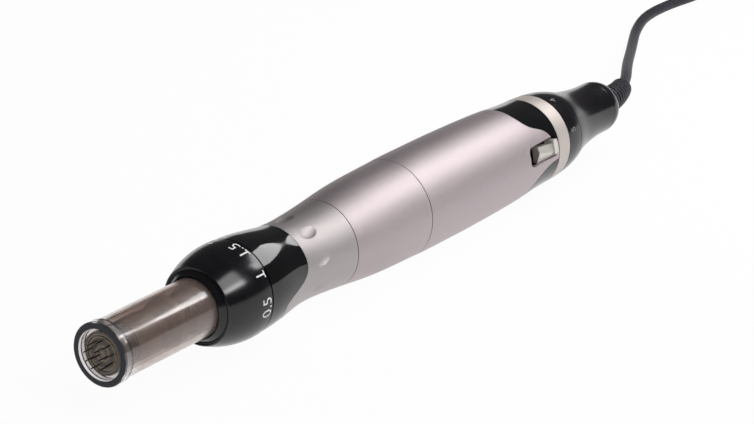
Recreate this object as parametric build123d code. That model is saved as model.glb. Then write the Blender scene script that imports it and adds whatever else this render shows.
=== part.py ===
from build123d import *
import math
import os

# The pen lies along X with its needles towards -X. Stations are measured from the tip plane.
seam_gap = 0.2
overrun = 1.0
slip_fit = 0.05
shaft_fit = 0.02
loose_fit = 0.3

# Outer lengths of the pieces that show, from the tip to the tail
exposed_cartridge = 28.6
dial_length = 12.6
grip_length = 29.6
front_barrel_length = 24.2
rear_barrel_length = 50.0
trim_ring_length = 4.4
speed_dial_length = 5.6
tail_length = 23.0

# Outer radii
pen_radius = 11.25
dial_radius = 10.62
tail_end_radius = 4.0
wall = 1.4

# Outline of the body: (share of the piece's length, share of the pen's radius)
grip_shares = (
    (0.0, 0.9365),
    (0.085, 0.93),
    (0.175, 0.91),
    (0.285, 0.872),
    (0.426, 0.818),
    (0.588, 0.792),
    (0.797, 0.815),
)
front_barrel_shares = ((0.0, 0.861), (0.28, 0.923), (0.61, 0.966), (1.0, 0.988))
clamp_band_shares = (0.188, 0.348)
rear_barrel_shares = ((0.528, 0.9884), (0.728, 0.9636), (0.848, 0.935), (0.928, 0.912))
trim_ring_shares = ((0.05, 0.898), (0.95, 0.882))
speed_dial_shares = ((0.643, 0.851),)
tail_shares = ((0.034, 0.793), (0.2, 0.687), (0.412, 0.5956), (0.62, 0.5467), (0.79, 0.535))
tail_round_shares = (0.93, 0.475)
front_slope_share = -0.02
rear_slope_share = -0.01

# Needle cartridge
cap_radius = 6.75
cap_length = 2.4
cap_lip = 0.95
cap_chamfer = 0.15
tube_radius = 6.4
tube_wall = 1.0
spigot_step = 0.5
tube_inside_dial = 11.4
needle_reach = 2.0
hub_setback = 0.9
hub_radius = 4.6
hub_disc = 2.5
hub_skirt_length = 9.8
hub_skirt_wall = 0.7
hub_groove_width = 0.3
hub_groove_depth = 0.2
hub_groove_pitch = 0.62
hub_groove_count = 5
face_ring_radius = 3.7
face_ring_width = 0.35
face_ring_depth = 0.25
needle_radius = 0.13
needle_grip = 1.8
needle_point = 0.6
needle_point_share = 0.1
outer_needle_count = 9
outer_needle_circle = 2.75
inner_needle_count = 3
inner_needle_circle = 1.0
plunger_radius = 1.8
plunger_flange = 1.4
guide_station_share = 0.455
guide_length = 1.8
spring_length = 7.0
spring_wire = 0.36
spring_turns = 6
membrane_length = 1.0
membrane_station_share = 0.83
base_length = 1.5
o_ring_section = 0.7
o_ring_setback = 2.5

# Depth mechanism: the dial moves the cartridge holder along the pen
depth_travel_back = 0.5
depth_travel_forward = 2.0
holder_wall = 0.55
holder_flange_radius = 7.8
holder_flange_length = 4.0
holder_flange_start = 3.6
holder_length = 15.8
holder_stop_radius = 5.0
key_width = 2.0
key_height = 0.4
key_length = 3.0
dial_front_wall = 1.3
dial_cone_length = 1.5
dial_rim_radius = 8.5
dial_bead = 0.5
dial_bead_shares = ((0.9, 0.45), (0.35, 0.0))
dial_edge = 0.25
dial_dome_shares = (0.46, 0.945)
dial_skirt_length = 3.8
dial_skirt_radius = 8.9
thread_clearance = 0.15
neck_radius = 8.1
neck_reach = 4.0
dial_ring_section = 0.6
retaining_ring_station = 1.8
retaining_ring_thickness = 0.6
retaining_ring_bite = 0.4
retaining_ring_mouth = 4.0

# Fixed black band and the nose cone
lobe_length = 13.8
lobe_base = 5.5
band_wall = 1.0
band_pocket = 4.8
lobe_top_share = 0.34
lobe_bottom_share = -0.32
lobe_bulge_shares = (-0.14, -0.06)
lobe_lead_share = 0.13
dimple_count = 9
dimple_station_share = 0.622
dimple_length = 4.7
dimple_width = 3.0
dimple_depth = 0.45
dimple_first_angle = -34.0
bulkhead_station = 8.1
bulkhead_length = 3.5
chamber_radius = 6.9
chamber_setback = 2.0
spigot_length = 4.0
bush_radius = 3.0
bush_flange_radius = 4.0
bush_flange_length = 0.8

# Drive
stroke = 2.5
drive_rod_radius = 1.5
follower_radius = 6.4
follower_thickness = 1.6
follower_station = 3.0
ball_radius = 0.9
ball_circle = 3.0
ball_post_radius = 0.7
ball_reach = 3.1
cam_clearance = 0.12
cam_radius = 3.9
cam_inner_radius = 1.7
cam_base = 2.0
cam_hub_radius = 2.5
cam_hub_length = 2.3
cam_steps = 12
guide_pin_radius = 0.8
guide_pin_circle = 5.1
guide_pin_length = 10.8
guide_pin_seat = 2.5
shaft_radius = 1.0
mount_thickness = 2.1
mount_step = 0.4
mount_bore = 2.0
motor_screw_circle = 5.0
motor_screw_radius = 0.8
motor_screw_length = 3.6
motor_screw_head_radius = 1.5
motor_screw_head = 0.9
motor_radius = 7.0
motor_setback = 3.5
motor_front_wall = 2.5
motor_rear_wall = 1.5
motor_can_wall = 0.7
armature_radius = 5.2
armature_share = 0.676
magnet_thickness = 0.55
magnet_angle = 120.0
motor_cap_length = 2.5
damper_share = 0.28
damper_station_share = 0.6
terminal_radius = 0.5
terminal_length = 2.0
terminal_spread = 2.5

# Barrel insides
sleeve_length = 9.0
sleeve_wall = 1.05
board_height = -4.0
board_thickness = 1.2
board_width = 16.0
board_share = 0.52
board_station_share = 0.188
cradle_margin = 0.5
chip_size = 6.0
chip_height = 1.2
chip_station = 7.0
capacitor_radius = 2.5
capacitor_height = 5.0
capacitor_station = 19.0
regulator_length = 4.0
regulator_width = 3.0
regulator_height = 1.5
regulator_station = 13.5
lead_radius = 0.45
lead_spread = 0.8

# Power switch, modelled at the top of the barrel and turned into place
switch_angle = -78.0
slot_length = 10.8
slot_width = 4.6
slot_end_gap = 1.2
slot_corner = 1.4
knob_length = 6.4
knob_floor = 8.3
knob_front_corners = ((-2.15, 9.2), (0.0, 10.3), (1.4, 9.95))
knob_rear_corners = ((-2.15, 9.6), (-1.3, 10.7), (0.8, 10.35))
ridge_corners = ((-2.15, 9.7), (-1.4, 10.9), (1.7, 10.9))
ridge_length = 1.4
knob_end_gap = 0.3
switch_travel = 3.0
stem_length = 2.0
stem_width = 1.6
stem_bottom = 6.9
switch_body_top = 8.0
switch_body_bottom = 6.3
switch_body_width = 6.4
switch_body_margin = 0.4

# Rear inlay: side outlines as (share of the rear barrel's length, share of the pen's radius)
inlay_thickness = 1.1
inlay_top_shares = (
    (0.803, 1.0),
    (0.807, 0.86),
    (0.836, 0.71),
    (0.885, 0.61),
    (0.935, 0.487),
    (0.962, 0.34),
    (1.02, 0.26),
)
inlay_bottom_shares = (
    (0.74, -1.0),
    (0.775, -0.68),
    (0.822, -0.41),
    (0.885, -0.22),
    (0.94, -0.14),
    (1.02, -0.11),
)

# Tail
end_frame_radius = 8.5
end_frame_disc = 2.8
end_boss_radius = 6.0
end_boss_length = 5.8
end_spigot_length = 4.8
end_spigot_wall = 1.0
end_spigot_relief = 7.6
neck_tail_radius = 6.0
neck_tail_length = 10.8
wire_bore = 3.2
pot_inner_radius = 6.35
pot_outer_radius = 8.3
pot_thickness = 1.3
wiper_thickness = 0.9
tail_socket_length = 5.0
tail_cavity_radius = 4.2
tail_cavity_length = 8.0
relief_radius = 3.2
relief_flange_radius = 4.0
relief_flange_length = 2.2
relief_flange_station = 10.8
relief_bend_radius = 28.0
relief_bend_angle = 22.0
relief_core_radius = 2.1
relief_rib_radius = 3.3
relief_end_radius = 2.5
relief_exit_run = 6.0
relief_rib_count = 9
relief_rib_share = 0.6

# Cord, coil and plug. The route is (station, y, height over the table).
cord_radius = 1.3
cord_route = (
    (204.0, 9.4, 10.0),
    (215.4, 16.3, 7.6),
    (228.2, 23.6, 5.0),
    (241.4, 31.2, 2.6),
    (253.2, 37.8, 1.3),
    (264.2, 42.0, 1.3),
    (276.0, 42.3, 1.3),
    (288.0, 40.3, 1.3),
    (301.0, 41.4, 1.3),
)
coil_centre = (326.0, 24.5)
coil_outer_turn = 20.7
coil_pitch = 3.06
coil_end_run = 9.0
bend_share = 0.45
nudge_share = 0.001
coil_first_turns = 3.5
coil_layer_turns = 3.0
coil_layers = 4
plug_route = (
    (343.5, 44.4, 8.6),
    (351.5, 44.8, 6.2),
)
plug_start = (367.0, 45.0)
plug_exit_run = 7.0
plug_entry_run = 8.0
plug_body_radius = 5.0
plug_body_length = 20.0
plug_neck_radius = 2.2
plug_neck_length = 7.0
plug_neck_share = 0.7
plug_barrel_radius = 2.75
plug_barrel_wall = 0.4
plug_barrel_length = 9.5
plug_contact_radius = 1.25
plug_contact_wall = 0.3

# Stations worked out from the lengths
dial_start = exposed_cartridge
dial_end = dial_start + dial_length
band_start = dial_end + seam_gap
nose_end = band_start + grip_length
front_start = nose_end + seam_gap
front_end = front_start + front_barrel_length
rear_start = front_end + seam_gap
rear_end = rear_start + rear_barrel_length
ring_start = rear_end + seam_gap
ring_end = ring_start + trim_ring_length
speed_start = ring_end + seam_gap
speed_end = speed_start + speed_dial_length
tail_start = speed_end + seam_gap
tail_end = tail_start + tail_length
bend_start = tail_end + loose_fit
bend_sine = math.sin(math.radians(relief_bend_angle))
bend_cosine = math.cos(math.radians(relief_bend_angle))
bend_end = bend_start + relief_bend_radius * bend_sine
bend_side = relief_bend_radius * (1 - bend_cosine)
pen_end = bend_start + (relief_bend_radius + relief_end_radius) * bend_sine
pen_middle = (pen_end - needle_reach) / 2
tube_bore = tube_radius - tube_wall
tube_end = dial_start + tube_inside_dial
holder_bore = tube_radius + slip_fit
holder_radius = holder_bore + holder_wall
holder_start = dial_start + holder_flange_start
holder_end = holder_start + holder_length
nose_bore = holder_radius + 2 * slip_fit
neck_start = dial_end - neck_reach
neck_back = band_start + band_pocket
bulkhead = band_start + bulkhead_station
chamber_start = bulkhead + bulkhead_length
chamber_end = nose_end - chamber_setback
mount_radius = chamber_radius + mount_step
hub_back = hub_setback + hub_disc
hub_end = hub_back + hub_skirt_length
guide_start = tube_end * guide_station_share
guide_end = guide_start + guide_length
flange_start = guide_end + spring_length
plunger_end = tube_end - 3 * base_length
follower_start = chamber_start + follower_station
follower_end = follower_start + follower_thickness
ball_centre = follower_end + ball_reach
cam_rise_angle = math.atan2(stroke, math.pi * ball_circle)
cam_peak = ball_centre + ball_radius / math.cos(cam_rise_angle) + cam_clearance
cam_back = cam_peak + stroke + cam_base
cam_end = cam_back + cam_hub_length
mount_start = chamber_end + seam_gap
motor_start = mount_start + mount_thickness
motor_length = front_barrel_length - motor_setback
motor_end = motor_start + motor_length
armature_length = motor_length * armature_share
board_start = rear_start + rear_barrel_length * board_station_share
board_top = board_height + board_thickness
board_end = board_start + rear_barrel_length * board_share
slot_end = rear_end - slot_end_gap
slot_start = slot_end - slot_length
knob_end = slot_end - knob_end_gap
knob_start = knob_end - knob_length
knob_middle = (knob_start + knob_end) / 2
neck_tail_end = ring_end + neck_tail_length
relief_start = tail_start + relief_flange_station
reach = 2 * pen_radius


def rod(start, end, radius, y=0, z=0):
    """A solid cylinder along the pen."""
    turned_cylinder = Rot(0, 90, 0) * Cylinder(radius, end - start)
    return Pos((start + end) / 2, y, z) * turned_cylinder


def tube(start, end, outer, inner):
    """A hollow cylinder round the pen's axis."""
    return rod(start, end, outer) - rod(start - overrun, end + overrun, inner)


def turned(points):
    """A solid of revolution about the pen's axis, from (station, radius) points."""
    face = make_face(Polyline(*points, close=True))
    return revolve(face, Axis.X, 360)


def block(start, end, y_low, y_high, z_low, z_high):
    """A box between the given planes."""
    middle = ((start + end) / 2, (y_low + y_high) / 2, (z_low + z_high) / 2)
    return Pos(*middle) * Box(end - start, y_high - y_low, z_high - z_low)


def about_axis(shape, angle):
    """The shape turned about the pen's axis; a positive angle moves the top towards +Y."""
    return Rot(-angle, 0, 0) * shape


def o_ring(station, major, section):
    """A rubber ring round the pen's axis."""
    return Pos(station, 0, 0) * Rot(0, 90, 0) * Torus(major, section / 2)


def outline_points(shares, start, length, shift):
    """Outline points of one piece from its table of shares."""
    return [(start + length * along, pen_radius * out - shift) for along, out in shares]


def skin(shift):
    """The solid inside the body's outline, drawn in by shift, from the band to the tail's end."""
    clamp_start = rear_start + rear_barrel_length * clamp_band_shares[0]
    clamp_end = rear_start + rear_barrel_length * clamp_band_shares[1]
    front = outline_points(grip_shares, band_start, grip_length, shift)
    front += outline_points(front_barrel_shares, front_start, front_barrel_length, shift)
    front += [(clamp_start, pen_radius - shift)]
    rear = [(clamp_end, pen_radius - shift)]
    rear += outline_points(rear_barrel_shares, rear_start, rear_barrel_length, shift)
    rear += outline_points(trim_ring_shares, ring_start, trim_ring_length, shift)
    rear += outline_points(speed_dial_shares, speed_start, speed_dial_length, shift)
    rear += outline_points(tail_shares, tail_start, tail_length, shift)
    round_station = tail_start + tail_length * tail_round_shares[0]
    round_point = (round_station, pen_radius * tail_round_shares[1] - shift)
    last_point = (tail_end, tail_end_radius - shift)
    curve = Spline(*front, tangents=[(1, front_slope_share), (1, 0)])
    curve += Line(front[-1], rear[0])
    curve += Spline(*rear, tangents=[(1, 0), (1, rear_slope_share)])
    curve += ThreePointArc(rear[-1], round_point, last_point)
    curve += Polyline(last_point, (tail_end, 0), (band_start, 0), front[0])
    return revolve(make_face(curve), Axis.X, 360)


def make_tip_cap():
    shoulder = cap_radius - cap_chamfer
    socket = tube_radius - spigot_step + slip_fit
    points = [
        (0, tube_bore),
        (0, shoulder),
        (cap_chamfer, cap_radius),
        (cap_length - cap_chamfer, cap_radius),
        (cap_length, shoulder),
        (cap_length, socket),
        (cap_lip, socket),
        (cap_lip, tube_bore),
    ]
    return turned(points)


def o_ring_station():
    return tube_end - o_ring_setback


def make_cartridge_tube():
    spigot = tube_radius - spigot_step
    points = [
        (cap_lip + slip_fit, tube_bore),
        (cap_lip + slip_fit, spigot),
        (cap_length + slip_fit, spigot),
        (cap_length + slip_fit, tube_radius),
        (tube_end, tube_radius),
        (tube_end, tube_bore),
    ]
    half_groove = o_ring_section / 2 + slip_fit
    groove_floor = tube_radius - o_ring_section
    station = o_ring_station()
    groove = tube(station - half_groove, station + half_groove, reach, groove_floor)
    return turned(points) - groove


def make_cartridge_o_ring():
    return o_ring(o_ring_station(), tube_radius - o_ring_section / 2 + shaft_fit, o_ring_section)


def needle_places():
    """(y, z) of each needle."""
    rings = ((outer_needle_count, outer_needle_circle), (inner_needle_count, inner_needle_circle))
    places = []
    for count, circle in rings:
        for index in range(count):
            angle = 2 * math.pi * index / count
            places.append((circle * math.sin(angle), circle * math.cos(angle)))
    return places


def make_needle_hub():
    skirt = tube(hub_back - slip_fit, hub_end, hub_radius, hub_radius - hub_skirt_wall)
    hub = rod(hub_setback, hub_back, hub_radius) + skirt
    ring_outer = face_ring_radius + face_ring_width / 2
    ring_inner = face_ring_radius - face_ring_width / 2
    hub -= tube(hub_setback - overrun, hub_setback + face_ring_depth, ring_outer, ring_inner)
    for index in range(hub_groove_count):
        station = hub_back + hub_groove_pitch * index
        hub -= tube(station, station + hub_groove_width, reach, hub_radius - hub_groove_depth)
    for y, z in needle_places():
        hub -= rod(-needle_reach, hub_setback + needle_grip, needle_radius + shaft_fit / 2, y, z)
    return hub


def make_needles():
    needles = []
    shank = hub_setback + needle_grip
    for y, z in needle_places():
        point = Rot(0, 90, 0) * Cone(needle_point_share * needle_radius, needle_radius, needle_point)
        point = Pos(needle_point / 2 - needle_reach, y, z) * point
        needles.append(rod(needle_point - needle_reach, shank, needle_radius, y, z) + point)
    return Compound(children=needles)


def make_plunger():
    flange = rod(flange_start, flange_start + plunger_flange, hub_radius)
    return rod(hub_back, plunger_end, plunger_radius) + flange


def make_cartridge_guide():
    return tube(guide_start, guide_end, tube_bore - slip_fit, plunger_radius + loose_fit)


def make_sealing_membrane():
    station = tube_end * membrane_station_share
    inner = plunger_radius + 2 * slip_fit
    return tube(station, station + membrane_length, tube_bore - slip_fit, inner)


def make_cartridge_base():
    end = tube_end - slip_fit
    return tube(end - base_length, end, tube_bore - slip_fit, plunger_radius + 2 * loose_fit)


def make_cartridge_holder():
    flange_end = holder_start + holder_flange_length
    stop = tube_end + slip_fit
    points = [
        (holder_start, holder_bore),
        (holder_start, holder_flange_radius),
        (flange_end, holder_flange_radius),
        (flange_end, holder_radius),
        (holder_end, holder_radius),
        (holder_end, holder_stop_radius),
        (stop, holder_stop_radius),
        (stop, holder_bore),
    ]
    holder = turned(points)
    for side in (-1, 1):
        root = side * (holder_radius - holder_wall / 2)
        top = side * (holder_radius + key_height - slip_fit)
        key_start = holder_end - key_length
        half = key_width / 2
        holder += block(key_start, holder_end, min(root, top), max(root, top), -half, half)
    return holder


def make_depth_dial():
    rim = dial_start + dial_cone_length
    tube_hole = tube_radius + loose_fit
    thread = holder_flange_radius + thread_clearance
    bearing = neck_radius + slip_fit
    inner_face = dial_start + dial_front_wall
    bearing_start = neck_start - loose_fit
    skirt_end = dial_end + dial_skirt_length
    dome_mid = (dial_start + dial_length * dial_dome_shares[0], dial_radius * dial_dome_shares[1])
    cone = [(dial_start, tube_hole), (rim, dial_rim_radius - dial_bead)]
    bead = [(rim - dial_bead * back, dial_rim_radius - dial_bead * inward) for back, inward in dial_bead_shares]
    inside = [
        (dial_end - dial_edge, dial_radius),
        (dial_end, dial_radius - dial_edge),
        (dial_end, dial_skirt_radius),
        (skirt_end, dial_skirt_radius),
        (skirt_end, bearing),
        (bearing_start, bearing),
        (bearing_start, thread),
        (inner_face, thread),
        (inner_face, tube_hole),
        (dial_start, tube_hole),
    ]
    outline = Line(*cone) + ThreePointArc(cone[-1], *bead)
    outline += ThreePointArc(bead[-1], dome_mid, inside[0]) + Polyline(*inside)
    return revolve(make_face(outline), Axis.X, 360) - retaining_groove()


def retaining_groove():
    """The hollow round the neck, half in the neck and half in the dial, for the snap ring."""
    start = dial_end + retaining_ring_station
    end = start + retaining_ring_thickness + 2 * slip_fit
    return tube(start, end, neck_radius + retaining_ring_bite, neck_radius - retaining_ring_bite)


def make_dial_retaining_ring():
    start = dial_end + retaining_ring_station + slip_fit
    end = start + retaining_ring_thickness
    bite = retaining_ring_bite - slip_fit
    ring = tube(start, end, neck_radius + bite, neck_radius - bite)
    half = retaining_ring_mouth / 2
    return ring - block(start - overrun, end + overrun, -half, half, -reach, 0)


def dial_ring_station():
    return neck_start + neck_reach / 2


def make_dial_o_ring():
    return o_ring(dial_ring_station(), neck_radius - dial_ring_section / 2, dial_ring_section)


def lobe(shift):
    """The side outline of the black band's lobe, as a block through the pen; shift moves its edge back."""
    tip = band_start + lobe_length + shift
    base = band_start + lobe_base + shift
    high = pen_radius * lobe_top_share
    low = pen_radius * lobe_bottom_share
    lead = lobe_length * lobe_lead_share
    bend = [
        (tip, high),
        (tip, pen_radius * lobe_bulge_shares[0]),
        (base + lead, pen_radius * lobe_bulge_shares[1]),
        (base, low),
    ]
    front = band_start - overrun
    corners = [(base, low), (base, -reach), (front, -reach), (front, reach), (tip, reach), (tip, high)]
    outline = Polyline(*corners) + Bezier(*bend)
    side = Plane.XZ * make_face(outline)
    return extrude(side, reach, both=True)


def make_index_band():
    end = band_start + lobe_length + overrun
    pocket = dial_skirt_radius + loose_fit
    band = outer_skin & rod(band_start, end, reach)
    band -= rod(band_start - overrun, neck_back, pocket)
    band -= rod(neck_back - overrun, end + overrun, neck_radius + slip_fit)
    return band & lobe(0)


def dimple_cutter():
    """A pointed round form whose skin leaves an oval hollow in the nose."""
    station = band_start + grip_length * dimple_station_share
    waist = pen_radius * min(out for along, out in grip_shares)
    half = dimple_length / 2
    arc_radius = (half * half + dimple_depth * dimple_depth) / (2 * dimple_depth)
    half_width = dimple_width / 2
    rim_drop = half_width * half_width / (2 * waist)
    rim = dimple_depth - rim_drop
    girth = (half_width * half_width + rim * rim) / (2 * rim)
    lift = girth - dimple_depth
    tip = math.sqrt(arc_radius * arc_radius - (arc_radius - girth) * (arc_radius - girth))
    arc = ThreePointArc((-tip, lift), (0, -dimple_depth), (tip, lift))
    face = make_face(arc + Line((tip, lift), (-tip, lift)))
    spindle = revolve(face, Axis((0, lift, 0), (1, 0, 0)), 360)
    return Pos(station, 0, waist) * Rot(90, 0, 0) * spindle


def make_nose_cone():
    lobe_end = band_start + lobe_length
    cone = outer_skin & rod(band_start + lobe_base - overrun, nose_end, reach)
    cone -= lobe(seam_gap / 2)
    neck_end = lobe_end + overrun
    cone += rod(neck_start, neck_end, neck_radius)
    spigot = front_spigot_radius()
    cone += rod(nose_end - overrun, nose_end + spigot_length, spigot)
    cone -= rod(neck_start - overrun, bulkhead, nose_bore)
    cone -= rod(bulkhead - overrun, chamber_start + overrun, bush_radius + shaft_fit)
    cone -= rod(chamber_start, chamber_end + overrun, chamber_radius)
    cone -= rod(chamber_end, nose_end + spigot_length + overrun, mount_radius)
    cone -= retaining_groove()
    station = dial_ring_station()
    half = dial_ring_section / 2 + slip_fit
    cone -= tube(station - half, station + half, reach, neck_radius - dial_ring_section)
    key_half = key_width / 2 + slip_fit
    key_reach = holder_radius + key_height + slip_fit
    key_start = holder_end - key_length - depth_travel_forward - loose_fit
    cone -= block(key_start, bulkhead, -key_reach, key_reach, -key_half, key_half)
    cone -= rod(
        bulkhead - overrun, chamber_start + overrun, guide_pin_radius + shaft_fit, 0, -guide_pin_circle
    )
    cutter = dimple_cutter()
    for index in range(dimple_count):
        cone -= about_axis(cutter, dimple_first_angle + 360 * index / dimple_count)
    return cone


def make_guide_bush():
    bush = rod(bulkhead, chamber_start, bush_radius)
    bush += rod(chamber_start, chamber_start + bush_flange_length, bush_flange_radius)
    end = chamber_start + bush_flange_length + overrun
    return bush - rod(bulkhead - overrun, end, drive_rod_radius + slip_fit)


def make_guide_pin():
    start = chamber_start - guide_pin_seat
    return rod(start, start + guide_pin_length, guide_pin_radius, 0, -guide_pin_circle)


def make_drive_rod():
    return rod(plunger_end + slip_fit, follower_start, drive_rod_radius)


def make_cam_follower():
    disc = rod(follower_start, follower_end, follower_radius)
    disc -= rod(
        follower_start - overrun, follower_end + overrun, guide_pin_radius + slip_fit, 0, -guide_pin_circle
    )
    post = rod(follower_end - slip_fit, ball_centre, ball_post_radius, 0, ball_circle)
    ball = Pos(ball_centre, 0, ball_circle) * Sphere(ball_radius)
    return disc + post + ball


def cam_section(angle):
    """The ramp's cross-section in the half plane at an angle from its peak."""
    top = cam_peak + stroke * abs(angle) / 180
    radii = (cam_inner_radius, cam_radius)
    corners = [(top, radii[0]), (top, radii[1]), (cam_back, radii[1]), (cam_back, radii[0])]
    return about_axis(make_face(Plane.XZ * Polyline(*corners, close=True)), angle)


def make_face_cam():
    """A ramp that rises steadily over half a turn and falls over the other half."""
    halves = []
    for side in (-1, 1):
        sections = [cam_section(side * 180 * step / cam_steps) for step in range(cam_steps + 1)]
        halves.append(sections)
    cam = rod(cam_back - cam_base, cam_back, cam_inner_radius + slip_fit)
    cam += rod(cam_back - slip_fit, cam_end, cam_hub_radius)
    for sections in halves:
        cam += loft(sections, ruled=True)
    return cam - rod(cam_peak - overrun, cam_end + overrun, shaft_radius + shaft_fit)


def make_motor_shaft():
    return rod(cam_back - cam_base + slip_fit, motor_end - motor_rear_wall / 2, shaft_radius)


def armature_start():
    return motor_start + motor_front_wall + overrun


def make_motor_armature():
    start = armature_start()
    return tube(start, start + armature_length, armature_radius, shaft_radius + shaft_fit)


def screw_sides():
    return (-motor_screw_circle, motor_screw_circle)


def make_motor_mount():
    mount = tube(mount_start, motor_start, mount_radius - slip_fit, mount_bore)
    sink = mount_start + motor_screw_head
    for y in screw_sides():
        mount -= rod(mount_start - overrun, motor_start + overrun, motor_screw_radius + slip_fit, y)
        mount -= rod(mount_start - overrun, sink, motor_screw_head_radius + slip_fit, y)
    return mount


def make_motor_screws():
    screws = []
    for y in screw_sides():
        head_end = mount_start + motor_screw_head
        head = rod(mount_start, head_end, motor_screw_head_radius, y)
        screws.append(head + rod(head_end, mount_start + motor_screw_length, motor_screw_radius, y))
    return Compound(children=screws)


def make_motor_can():
    can = rod(motor_start, motor_end, motor_radius)
    can -= rod(motor_start + motor_front_wall, motor_end - motor_rear_wall, motor_radius - motor_can_wall)
    can -= rod(motor_start - overrun, motor_end + overrun, shaft_radius + slip_fit)
    tapped = mount_start + motor_screw_length + slip_fit
    for y in screw_sides():
        can -= rod(motor_start - overrun, tapped, motor_screw_radius + slip_fit, y)
    return can


def make_motor_magnets():
    start = armature_start()
    outer = motor_radius - motor_can_wall - slip_fit
    ring_face = make_face(
        Polyline(
            (start, outer - magnet_thickness),
            (start, outer),
            (start + armature_length, outer),
            (start + armature_length, outer - magnet_thickness),
            close=True,
        )
    )
    arc = revolve(ring_face, Axis.X, magnet_angle)
    return Compound(children=[arc, Rot(180, 0, 0) * arc])


def make_motor_end_cap():
    return rod(motor_end, motor_end + motor_cap_length, motor_radius - slip_fit)


def lead_height():
    return board_top + lead_radius


def make_motor_terminals():
    start = motor_end + motor_cap_length
    end = start + terminal_length
    return Compound(children=[rod(start, end, terminal_radius, y, lead_height()) for y in terminal_sides()])


def terminal_sides():
    return (-terminal_spread, terminal_spread)


def make_motor_leads():
    start = motor_end + motor_cap_length + terminal_length
    end = board_start + board_thickness
    return Compound(children=[rod(start, end, lead_radius, y, lead_height()) for y in terminal_sides()])


def outline_radius(station):
    """The outer radius of the body at a station, read off the finished outline."""
    slice_end = station + slip_fit
    box = (outer_skin & rod(station, slice_end, reach)).bounding_box()
    return box.max.Z


def front_spigot_radius():
    return pen_radius * front_barrel_shares[0][1] - wall - slip_fit


def make_motor_damper():
    start = motor_start + motor_length * damper_station_share
    outer = outline_radius(start) - wall - slip_fit
    return tube(start, start + motor_length * damper_share, outer, motor_radius + slip_fit)


def make_front_barrel():
    return (outer_skin & rod(front_start, front_end, reach)) - inner_skin


def sleeve_radius():
    return outline_radius(front_end - sleeve_length / 2) - wall - slip_fit


def sleeve_groove():
    return rear_start + sleeve_length / 4


def make_joining_sleeve():
    middle = (front_end + rear_start) / 2
    outer = sleeve_radius()
    sleeve = tube(middle - sleeve_length / 2, middle + sleeve_length / 2, outer, outer - sleeve_wall)
    station = sleeve_groove()
    half = dial_ring_section / 2 + slip_fit
    return sleeve - tube(station - half, station + half, reach, outer - dial_ring_section + slip_fit)


def make_barrel_o_ring():
    major = sleeve_radius() - dial_ring_section / 2 + slip_fit
    return o_ring(sleeve_groove(), major, dial_ring_section)


def side_region(shares, shift):
    """A block through the pen behind a side outline of the rear barrel; shift moves it back."""
    points = [(rear_start + rear_barrel_length * along + shift, pen_radius * up) for along, up in shares]
    edge = math.copysign(reach, shares[0][1])
    outline = Spline(*points)
    outline += Polyline(points[-1], (points[-1][0], edge), (points[0][0], edge), points[0])
    return extrude(Plane.XZ * make_face(outline), reach, both=True)


def inlay_tables():
    return (inlay_top_shares, inlay_bottom_shares)


def make_rear_barrel():
    barrel = (outer_skin & rod(rear_start, rear_end, reach)) - inner_skin
    for shares in inlay_tables():
        barrel -= side_region(shares, 0) - inlay_floor
    return barrel - about_axis(slot_cutter(), switch_angle)


def make_rear_inlay():
    end = rear_end
    shell = (outer_skin & rod(rear_start, end, reach)) - skin(inlay_thickness - slip_fit)
    plates = [shell & side_region(shares, slip_fit) for shares in inlay_tables()]
    plates = [plate - about_axis(slot_cutter(), switch_angle) for plate in plates]
    return Compound(children=[solid for plate in plates for solid in plate.solids()])


def slot_cutter():
    """The switch slot, cut downwards from above the top of the barrel."""
    middle = (slot_start + slot_end) / 2
    outline = Pos(middle, 0, switch_body_top) * RectangleRounded(slot_length, slot_width, slot_corner)
    cutter = extrude(outline, reach - switch_body_top)
    half = slot_width / 2
    return cutter + block(middle, slot_end, -half, half, switch_body_top, reach)


def make_board_cradle():
    start = board_start - cradle_margin
    end = board_end + cradle_margin
    shell = skin(wall + 2 * slip_fit) - skin(wall + 2 * slip_fit + wall)
    return shell & block(start, end, -reach, reach, -reach, board_height)


def make_circuit_board():
    half = board_width / 2
    return block(board_start, board_end, -half, half, board_height, board_top)


def on_board(station, length, width, height, y=0):
    start = board_start + station
    return block(start, start + length, y - width / 2, y + width / 2, board_top, board_top + height)


def make_driver_chip():
    return on_board(chip_station, chip_size, chip_size, chip_height, chip_size / 2)


def make_voltage_regulator():
    y = -regulator_width
    return on_board(regulator_station, regulator_length, regulator_width, regulator_height, y)


def make_smoothing_capacitor():
    body = Cylinder(capacitor_radius, capacitor_height)
    place = Pos(board_start + capacitor_station, 2 * capacitor_radius, board_top + capacitor_height / 2)
    return place * body


def make_power_leads():
    start = board_end - capacitor_radius
    sides = (-lead_spread, lead_spread)
    return Compound(children=[rod(start, relief_start, lead_radius, y, lead_height()) for y in sides])


def make_switch_body():
    half = switch_body_width / 2
    start = slot_start - switch_body_margin
    end = slot_end + switch_body_margin / 2
    body = block(start, end, -half, half, switch_body_bottom, switch_body_top)
    stem_half = stem_length / 2 + slip_fit + loose_fit / 2
    well_start = knob_middle - stem_half - switch_travel
    well = block(
        well_start,
        knob_middle + stem_half,
        -stem_width / 2 - slip_fit,
        stem_width / 2 + slip_fit,
        stem_bottom - slip_fit,
        reach,
    )
    return about_axis(body - well, switch_angle)


def knob_section(station, corners):
    """The knob's cross-section at a station, down to its floor."""
    places = [(station, y, z) for y, z in corners]
    places += [(station, corners[-1][0], knob_floor), (station, corners[0][0], knob_floor)]
    return make_face(Polyline(*places, close=True))


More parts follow.
